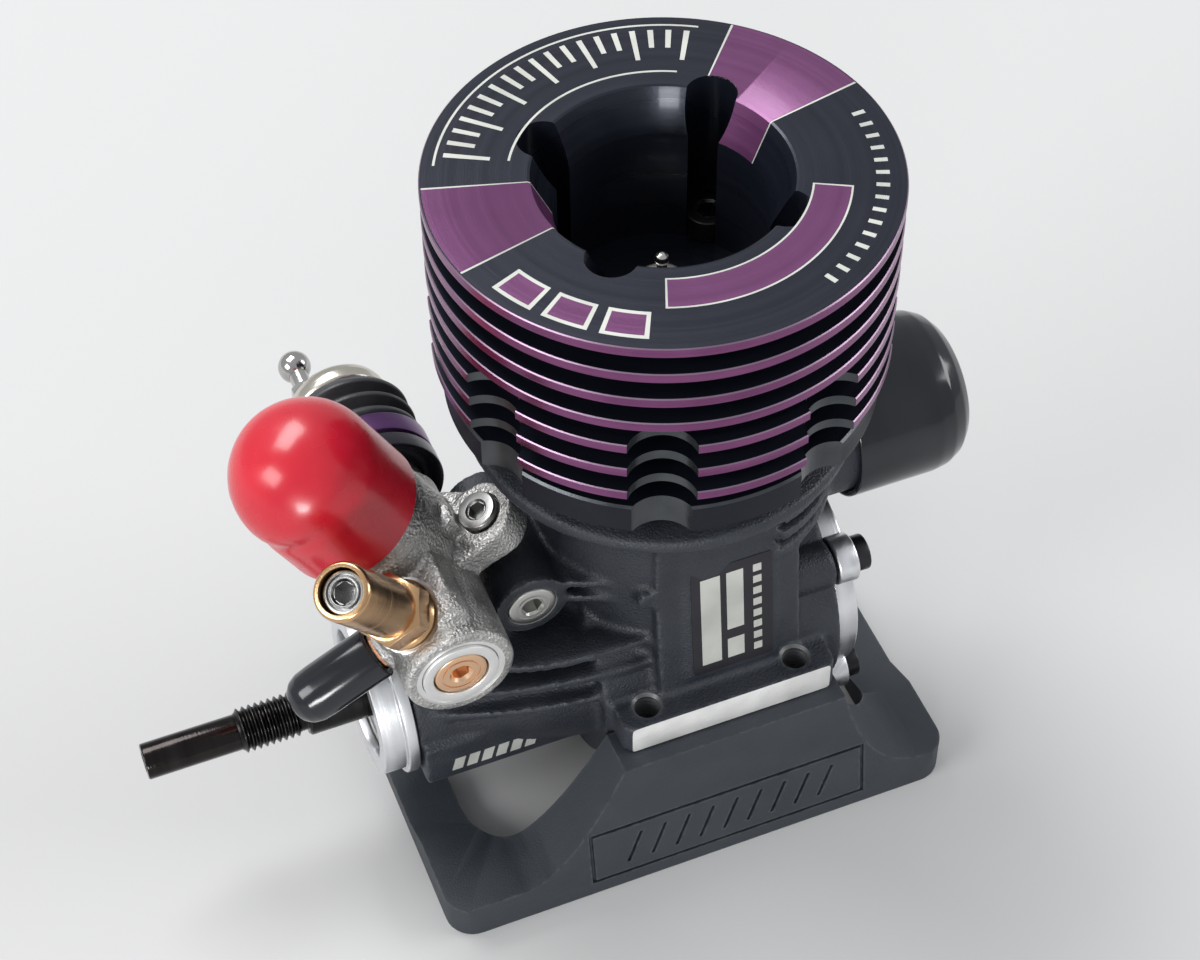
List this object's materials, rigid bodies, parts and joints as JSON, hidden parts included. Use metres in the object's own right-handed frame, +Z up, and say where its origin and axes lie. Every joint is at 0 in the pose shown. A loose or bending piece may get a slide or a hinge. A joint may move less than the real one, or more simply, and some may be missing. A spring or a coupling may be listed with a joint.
{
  "type": "model glow engine",
  "caption": "Small two-stroke glow engine with a finned head, rotary-valve crankshaft, slide carburettor and transport caps, resting on a low bench stand.",
  "frame": {"origin": "middle of the underside of the bench stand's front bar, on the crankshaft's centre plane", "axes": "+X from the output shaft towards the exhaust, +Y towards the throttle ball stud, +Z up the cylinder"},
  "size_m": [0.1175, 0.0705, 0.104],
  "materials": {
    "black_anodised": "satin black anodise with purple edges and panels",
    "black_casting": "matte black coated casting",
    "bare_aluminium": "machined",
    "cast_aluminium": "bead blasted",
    "purple_anodised": "satin anodise",
    "brass": "turned",
    "copper": "turned",
    "steel": "satin",
    "black_steel": "black oxide",
    "nickel_steel": "warm nickel plate",
    "red_vinyl": "glossy soft vinyl",
    "black_vinyl": "glossy soft vinyl",
    "black_rubber": "satin",
    "black_plastic": "fine satin grain",
    "white_ceramic": "satin"
  },
  "bodies": {
    "stand": {"bench_stand": "black_plastic"},
    "engine": {"crankcase": "black_casting", "nose_ring": "bare_aluminium", "rear_bearing_outer": "steel", "front_bearing_outer": "steel", "front_bearing_shield": "steel", "cylinder_liner": "brass", "head_button": "bare_aluminium", "head_shim": "copper", "glow_plug": "nickel_steel", "glow_plug_insulator": "white_ceramic", "glow_plug_post": "steel", "cooling_head": "black_anodised", "head_screw_1": "black_steel", "head_screw_2": "black_steel", "head_screw_3": "black_steel", "head_screw_4": "black_steel", "backplate": "bare_aluminium", "backplate_oring": "black_rubber", "backplate_screw_1": "black_steel", "backplate_screw_2": "black_steel", "backplate_screw_3": "black_steel", "backplate_screw_4": "black_steel", "pinch_bolt": "steel", "pinch_sleeve": "steel", "carb_body": "cast_aluminium", "carb_seat_oring": "black_rubber", "adjuster_housing": "bare_aluminium", "needle_housing": "brass", "fuel_nipple_washer": "copper", "fuel_nipple": "nickel_steel", "boot_flange": "black_anodised", "boot_ring": "purple_anodised", "throttle_boot": "black_rubber"},
    "crank": {"crankshaft": "black_steel", "rear_bearing_inner": "steel", "front_bearing_inner": "steel"},
    "rear_cage": {"rear_bearing_cage": "brass"},
    "front_cage": {"front_bearing_cage": "brass"},
    "piston": {"piston": "bare_aluminium", "wrist_pin": "steel", "wrist_pin_clip_front": "black_steel", "wrist_pin_clip_rear": "black_steel"},
    "rod": {"connecting_rod": "cast_aluminium", "rod_big_end_bush": "brass", "rod_small_end_bush": "brass"},
    "throttle": {"throttle_slide": "steel", "slide_end_disc": "nickel_steel", "ball_stud": "steel"},
    "high_speed_needle": {"main_needle": "steel", "needle_seal": "black_rubber"},
    "low_speed_needle": {"low_speed_screw": "copper"},
    "idle_stop": {"idle_stop_screw": "steel"},
    "intake_cap": {"intake_cap": "red_vinyl"},
    "fuel_cap": {"fuel_cap": "black_vinyl"},
    "exhaust_cap": {"exhaust_cap": "black_vinyl"}
  },
  "joints": [
    {"name": "engine_lift", "type": "slide", "parent": "stand", "child": "engine", "axis": [0, 0, 1], "range_m": [0, 0.06]},
    {"name": "crank_spin", "type": "hinge", "parent": "engine", "child": "crank", "pos_m": [0.03775, 0, 0.024], "axis": [1, 0, 0], "continuous": true},
    {"name": "rear_cage_spin", "type": "hinge", "parent": "engine", "child": "rear_cage", "pos_m": [0.03775, 0, 0.024], "axis": [1, 0, 0], "continuous": true},
    {"name": "front_cage_spin", "type": "hinge", "parent": "engine", "child": "front_cage", "pos_m": [0.03775, 0, 0.024], "axis": [1, 0, 0], "continuous": true},
    {"name": "piston_stroke", "type": "slide", "parent": "engine", "child": "piston", "axis": [0, 0, -1], "range_m": [0, 0.0168]},
    {"name": "rod_swing", "type": "hinge", "parent": "piston", "child": "rod", "pos_m": [0.03775, 0, 0.0624], "axis": [1, 0, 0], "range_deg": [-14, 14]},
    {"name": "throttle_open", "type": "slide", "parent": "engine", "child": "throttle", "axis": [0, 1, 0], "range_m": [0, 0.008], "deforming": ["throttle_boot"]},
    {"name": "high_speed_turn", "type": "hinge", "parent": "engine", "child": "high_speed_needle", "pos_m": [-0.00217, -0.013, 0.05432], "axis": [-0.4428, -0.3322, 0.8328], "range_deg": [-720, 360]},
    {"name": "low_speed_turn", "type": "hinge", "parent": "engine", "child": "low_speed_needle", "pos_m": [0.00255, -0.019, 0.048], "axis": [0, -1, 0], "range_deg": [-360, 360]},
    {"name": "idle_stop_turn", "type": "hinge", "parent": "engine", "child": "idle_stop", "pos_m": [0.01219, -0.003, 0.05585], "axis": [-0.4695, 0, 0.8829], "range_deg": [-360, 360]},
    {"name": "intake_cap_pull", "type": "slide", "parent": "engine", "child": "intake_cap", "axis": [-0.4695, 0, 0.8829], "range_m": [0, 0.03]},
    {"name": "fuel_cap_pull", "type": "slide", "parent": "engine", "child": "fuel_cap", "axis": [-0.8829, 0, -0.4695], "range_m": [0, 0.02]},
    {"name": "exhaust_cap_pull", "type": "slide", "parent": "engine", "child": "exhaust_cap", "axis": [1, 0, 0], "range_m": [0, 0.03]}
  ],
  "couplings": [
    {"joint": "rear_cage_spin", "follows": "crank_spin", "ratio": 0.4242},
    {"joint": "front_cage_spin", "follows": "crank_spin", "ratio": 0.4115}
  ]
}
